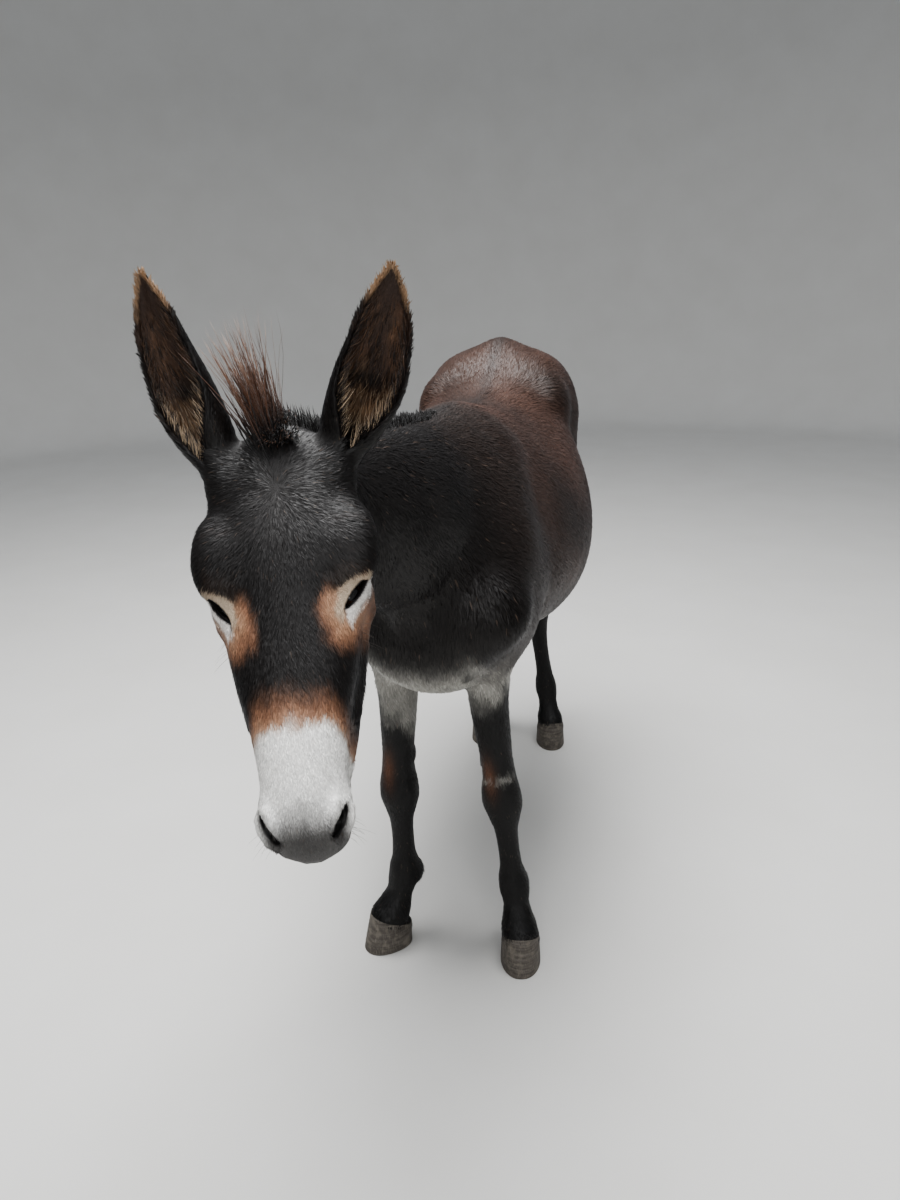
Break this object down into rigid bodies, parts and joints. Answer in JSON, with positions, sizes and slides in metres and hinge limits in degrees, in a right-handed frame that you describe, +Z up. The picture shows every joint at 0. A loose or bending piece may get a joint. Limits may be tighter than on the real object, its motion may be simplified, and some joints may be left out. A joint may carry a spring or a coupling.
{
  "type": "donkey",
  "caption": "Life-size standing donkey with a dark short coat, pale muzzle and eye rings, long upright ears, stiff mane and tufted tail, head turned a little to its left.",
  "frame": {"origin": "on the floor, under the middle of the whole figure's box", "axes": "+X is the donkey's left, -Y is the way it faces, +Z is up"},
  "size_m": [0.522, 1.8274, 1.3611],
  "materials": {
    "coat": "short glossy fur, near black with brown lights, pale at muzzle, eyes and belly",
    "mane": "coarse upright hair, black at the root and red-brown at the tips",
    "hoof": "grey-brown horn with growth rings",
    "eye": "wet, very dark brown"
  },
  "bodies": {
    "root": {"ear_left": "coat", "ear_right": "coat", "eye_left": "eye", "eye_right": "eye", "head": "coat", "hoof_fore_left": "hoof", "hoof_fore_right": "hoof", "hoof_hind_left": "hoof", "hoof_hind_right": "hoof", "leg_fore_left": "coat", "leg_fore_right": "coat", "leg_hind_left": "coat", "leg_hind_right": "coat", "mane": "mane", "neck": "coat", "tail": "coat", "tail_tuft": "mane", "trunk": "coat"}
  },
  "joints": []
}
